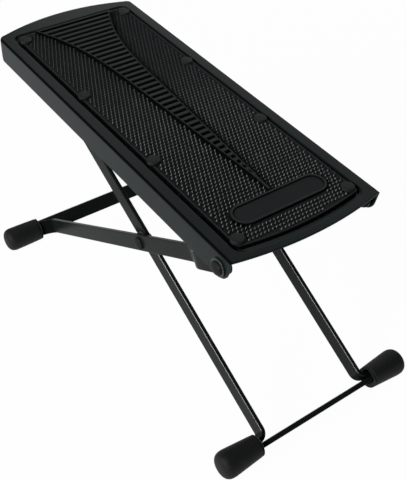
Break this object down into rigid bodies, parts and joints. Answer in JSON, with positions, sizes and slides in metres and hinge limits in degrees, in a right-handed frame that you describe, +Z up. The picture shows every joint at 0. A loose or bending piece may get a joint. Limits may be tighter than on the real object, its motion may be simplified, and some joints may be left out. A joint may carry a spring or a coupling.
{
  "type": "folding guitar footrest",
  "caption": "Folding footrest: black pressed steel tray with a ribbed rubber mat on crossed flat bar frames, with rubber foot caps.",
  "frame": {"origin": "on the floor, at the middle of the bounding box", "axes": "+Z up, +Y towards the raised rear end of the tray, +X to the right, along the hinge axes"},
  "size_m": [0.1712, 0.3167, 0.1758],
  "materials": {
    "black_steel": "satin black powder coat",
    "rivet_steel": "satin black",
    "rod_steel": "zinc plated",
    "mat_rubber": "moulded, semi matte",
    "foot_rubber": "moulded, matte",
    "spacer_plastic": "matte black"
  },
  "bodies": {
    "rear_frame": {"rear_bar_left": "black_steel", "rear_bar_right": "black_steel", "rear_crossbar": "black_steel", "rear_foot_cap_left": "foot_rubber", "rear_foot_cap_right": "foot_rubber", "scissor_rivet_left": "rivet_steel", "scissor_rivet_right": "rivet_steel", "scissor_spacer_left": "spacer_plastic", "scissor_spacer_right": "spacer_plastic"},
    "front_frame": {"front_bar_left": "black_steel", "front_bar_right": "black_steel", "front_crossbar": "black_steel", "front_foot_cap_left": "foot_rubber", "front_foot_cap_right": "foot_rubber", "locking_rod": "rod_steel"},
    "tray": {"deck_tray": "black_steel", "rubber_mat": "mat_rubber", "mat_stud_left_1": "mat_rubber", "mat_stud_left_2": "mat_rubber", "mat_stud_left_3": "mat_rubber", "mat_stud_left_4": "mat_rubber", "mat_stud_right_1": "mat_rubber", "mat_stud_right_2": "mat_rubber", "mat_stud_right_3": "mat_rubber", "mat_stud_right_4": "mat_rubber", "notch_rack_left": "black_steel", "notch_rack_right": "black_steel", "hinge_rivet_left": "rivet_steel", "hinge_rivet_right": "rivet_steel", "hinge_washer_left": "rivet_steel", "hinge_washer_right": "rivet_steel"}
  },
  "joints": [
    {"name": "scissor", "type": "hinge", "parent": "rear_frame", "child": "front_frame", "pos_m": [0, -0.01939, 0.08782], "axis": [1, 0, 0], "range_deg": [-54, 40]},
    {"name": "tray_hinge", "type": "hinge", "parent": "rear_frame", "child": "tray", "pos_m": [0, -0.11821, 0.13967], "axis": [1, 0, 0], "range_deg": [-31, 23]}
  ],
  "couplings": [
    {"joint": "tray_hinge", "follows": "scissor", "ratio": 0.56}
  ]
}
